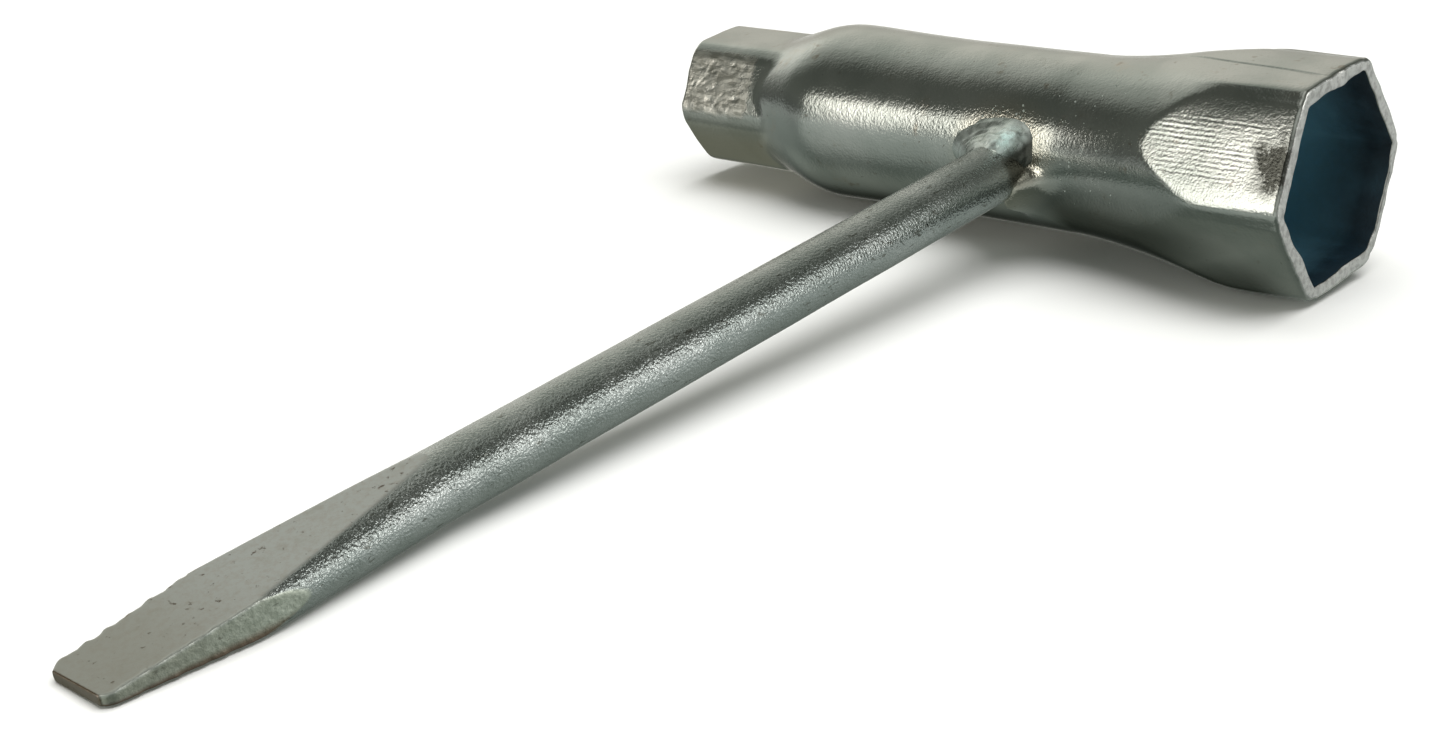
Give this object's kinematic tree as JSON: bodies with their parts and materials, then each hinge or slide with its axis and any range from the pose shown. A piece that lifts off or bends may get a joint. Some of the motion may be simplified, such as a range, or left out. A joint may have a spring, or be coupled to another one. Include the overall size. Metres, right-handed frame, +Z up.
{
  "type": "t-wrench",
  "caption": "Chainsaw T-wrench: swaged steel tube with a large and a small hexagon socket, and a rod welded across its barrel that ends in a flat screwdriver blade.",
  "frame": {"origin": "bottom centre of the bounding box, on the table that the wrench lies on", "axes": "+Z up from the table; -Y along the rod towards the blade; +X across, towards the large socket. The tube and the rod lean by a few degrees, because the wrench lies on its blade tip, its large socket and the shoulder of its barrel."},
  "size_m": [0.0848, 0.1374, 0.0237],
  "materials": {
    "plated_tube": "bright zinc plate on smooth drawn tube",
    "plated_rod": "bright zinc plate on fine pebbled hot-rolled rod",
    "plated_weld": "zinc plate over a rippled weld bead"
  },
  "bodies": {
    "root": {"socket_tube": "plated_tube", "driver_rod": "plated_rod", "weld_bead_upper": "plated_weld", "weld_bead_lower": "plated_weld"}
  },
  "joints": []
}
